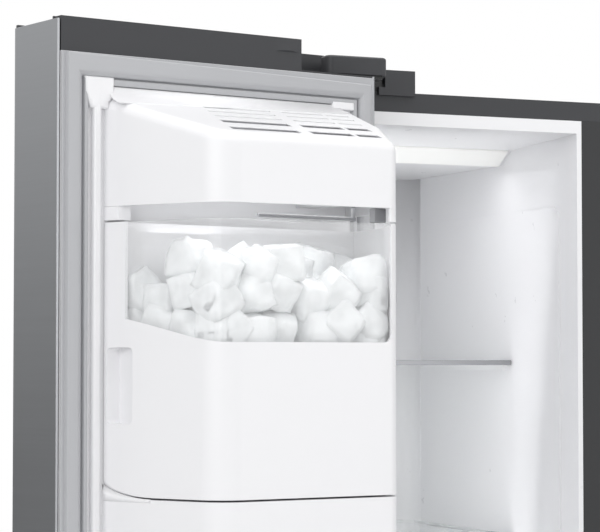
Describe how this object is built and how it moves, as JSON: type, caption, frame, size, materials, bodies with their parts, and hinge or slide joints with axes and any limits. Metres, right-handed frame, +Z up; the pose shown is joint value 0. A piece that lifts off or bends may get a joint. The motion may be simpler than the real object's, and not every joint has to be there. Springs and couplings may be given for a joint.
{
  "type": "side by side refrigerator",
  "caption": "Side by side refrigerator, both doors open: narrow freezer door with an ice maker and ice bucket on its inside, shelves, drawers and door bins.",
  "frame": {"origin": "on the floor under the middle of the cabinet", "axes": "+X to the right of someone facing the doors, +Y to the back, +Z up"},
  "size_m": [1.7293, 0.9159, 1.78],
  "materials": {
    "stainless": "fine horizontal brushing",
    "painted_case": "satin dark grey paint",
    "zinc_sheet": "dull zinc coating",
    "foam": "rigid insulating foam",
    "white_liner": "smooth satin white",
    "white_plastic": "smooth satin white",
    "dark_plastic": "matt dark grey",
    "black_plastic": "matt black",
    "gloss_black": "gloss black",
    "grey_trim": "matt mid grey",
    "gasket_vinyl": "soft matt light grey",
    "clear_plastic": "clear and glossy",
    "lamp_lens": "frosted white",
    "shelf_glass": "clear toughened glass",
    "ice": "wet cloudy ice",
    "bare_aluminium": "mill finish",
    "black_paint": "satin black paint",
    "bare_steel": "bright drawn steel"
  },
  "bodies": {
    "cabinet": {"outer_case": "painted_case", "back_panel": "zinc_sheet", "base_plate": "zinc_sheet", "cabinet_foam": "foam", "freezer_liner": "white_liner", "fridge_liner": "white_liner", "mullion_cover": "painted_case", "kick_grille": "dark_plastic", "lamp_covers": "lamp_lens", "freezer_duct_cover": "white_plastic", "fridge_duct_cover": "white_plastic", "evaporator": "bare_aluminium", "compressor": "black_paint", "condenser": "black_paint", "machine_cover": "dark_plastic", "shelf_glasses": "shelf_glass", "shelf_trims": "grey_trim", "door_hinges": "black_paint", "hinge_covers": "dark_plastic", "hinge_screws": "zinc_sheet", "water_valve": "white_plastic"},
    "left_foot": {"left_foot": "black_plastic"},
    "right_foot": {"right_foot": "black_plastic"},
    "rear_rollers": {"rear_rollers": "black_plastic"},
    "evaporator_fan": {"evaporator_fan": "black_plastic"},
    "condenser_fan": {"condenser_fan": "black_plastic"},
    "freezer_door": {"freezer_door_skin": "stainless", "freezer_door_top_cap": "dark_plastic", "freezer_door_bottom_cap": "dark_plastic", "freezer_door_liner": "white_liner", "freezer_door_foam": "foam", "freezer_door_gasket": "gasket_vinyl", "freezer_door_handle": "stainless", "freezer_door_bins": "clear_plastic", "ice_maker_housing": "white_plastic", "ice_maker_drive": "grey_trim", "ice_chute": "white_plastic", "dispenser_back_cover": "white_plastic", "dispenser_recess": "black_plastic", "dispenser_panel": "gloss_black", "drip_grille": "grey_trim"},
    "ice_bucket": {"ice_bucket": "white_plastic", "bucket_window": "clear_plastic", "ice_pile": "ice"},
    "ice_auger": {"ice_auger": "bare_steel"},
    "ice_tray": {"ice_tray": "grey_trim"},
    "ice_level_arm": {"ice_level_arm": "white_plastic"},
    "dispenser_paddle": {"dispenser_paddle": "grey_trim"},
    "chute_flap": {"chute_flap": "black_plastic"},
    "fridge_door": {"fridge_door_skin": "stainless", "fridge_door_caps": "dark_plastic", "fridge_door_liner": "white_liner", "fridge_door_foam": "foam", "fridge_door_gasket": "gasket_vinyl", "fridge_door_handle": "stainless", "fridge_door_bins": "clear_plastic"},
    "freezer_lower_drawer": {"freezer_lower_drawer": "clear_plastic"},
    "freezer_upper_drawer": {"freezer_upper_drawer": "clear_plastic"},
    "fridge_lower_drawer": {"fridge_lower_drawer": "clear_plastic"},
    "fridge_upper_drawer": {"fridge_upper_drawer": "clear_plastic"}
  },
  "joints": [
    {"name": "freezer_door_swing", "type": "hinge", "parent": "cabinet", "child": "freezer_door", "pos_m": [-0.434, -0.362, 0.9], "axis": [0, 0, -1], "range_deg": [-168, 0]},
    {"name": "fridge_door_swing", "type": "hinge", "parent": "cabinet", "child": "fridge_door", "pos_m": [0.434, -0.362, 0.9], "axis": [0, 0, 1], "range_deg": [-168, 0]},
    {"name": "freezer_lower_drawer_pull", "type": "slide", "parent": "cabinet", "child": "freezer_lower_drawer", "axis": [0, -1, 0], "range_m": [0, 0.17]},
    {"name": "freezer_upper_drawer_pull", "type": "slide", "parent": "cabinet", "child": "freezer_upper_drawer", "axis": [0, -1, 0], "range_m": [0, 0.17]},
    {"name": "fridge_lower_drawer_pull", "type": "slide", "parent": "cabinet", "child": "fridge_lower_drawer", "axis": [0, -1, 0], "range_m": [0, 0.17]},
    {"name": "fridge_upper_drawer_pull", "type": "slide", "parent": "cabinet", "child": "fridge_upper_drawer", "axis": [0, -1, 0], "range_m": [0, 0.17]},
    {"name": "ice_bucket_pull", "type": "slide", "parent": "freezer_door", "child": "ice_bucket", "axis": [0.2079, -0.9781, 0], "range_m": [0, 0.22]},
    {"name": "ice_auger_spin", "type": "hinge", "parent": "ice_bucket", "child": "ice_auger", "pos_m": [-0.58224, -0.51108, 1.345], "axis": [0.2079, -0.9781, 0], "continuous": true},
    {"name": "ice_tray_turn", "type": "hinge", "parent": "freezer_door", "child": "ice_tray", "pos_m": [-0.5847, -0.51876, 1.628], "axis": [-0.9781, -0.2079, 0], "range_deg": [0, 150]},
    {"name": "ice_level_arm_lift", "type": "hinge", "parent": "freezer_door", "child": "ice_level_arm", "pos_m": [-0.49268, -0.53805, 1.604], "axis": [-0.9781, -0.2079, 0], "range_deg": [0, 30]},
    {"name": "dispenser_paddle_push", "type": "hinge", "parent": "freezer_door", "child": "dispenser_paddle", "pos_m": [-0.60449, -0.40642, 1.156], "axis": [-0.9781, -0.2079, 0], "range_deg": [0, 10]},
    {"name": "chute_flap_drop", "type": "hinge", "parent": "freezer_door", "child": "chute_flap", "pos_m": [-0.60116, -0.42207, 1.192], "axis": [-0.9781, -0.2079, 0], "range_deg": [0, 40]},
    {"name": "evaporator_fan_spin", "type": "hinge", "parent": "cabinet", "child": "evaporator_fan", "pos_m": [-0.256, 0.159, 1.06], "axis": [0, 1, 0], "continuous": true},
    {"name": "condenser_fan_spin", "type": "hinge", "parent": "cabinet", "child": "condenser_fan", "pos_m": [-0.02, 0.205, 0.1575], "axis": [1, 0, 0], "continuous": true},
    {"name": "rear_rollers_roll", "type": "hinge", "parent": "cabinet", "child": "rear_rollers", "pos_m": [0, 0.25, 0.026], "axis": [1, 0, 0], "continuous": true},
    {"name": "left_foot_turn", "type": "hinge", "parent": "cabinet", "child": "left_foot", "pos_m": [-0.39, -0.25, 0], "axis": [0, 0, 1], "continuous": true},
    {"name": "right_foot_turn", "type": "hinge", "parent": "cabinet", "child": "right_foot", "pos_m": [0.39, -0.25, 0], "axis": [0, 0, 1], "continuous": true}
  ]
}
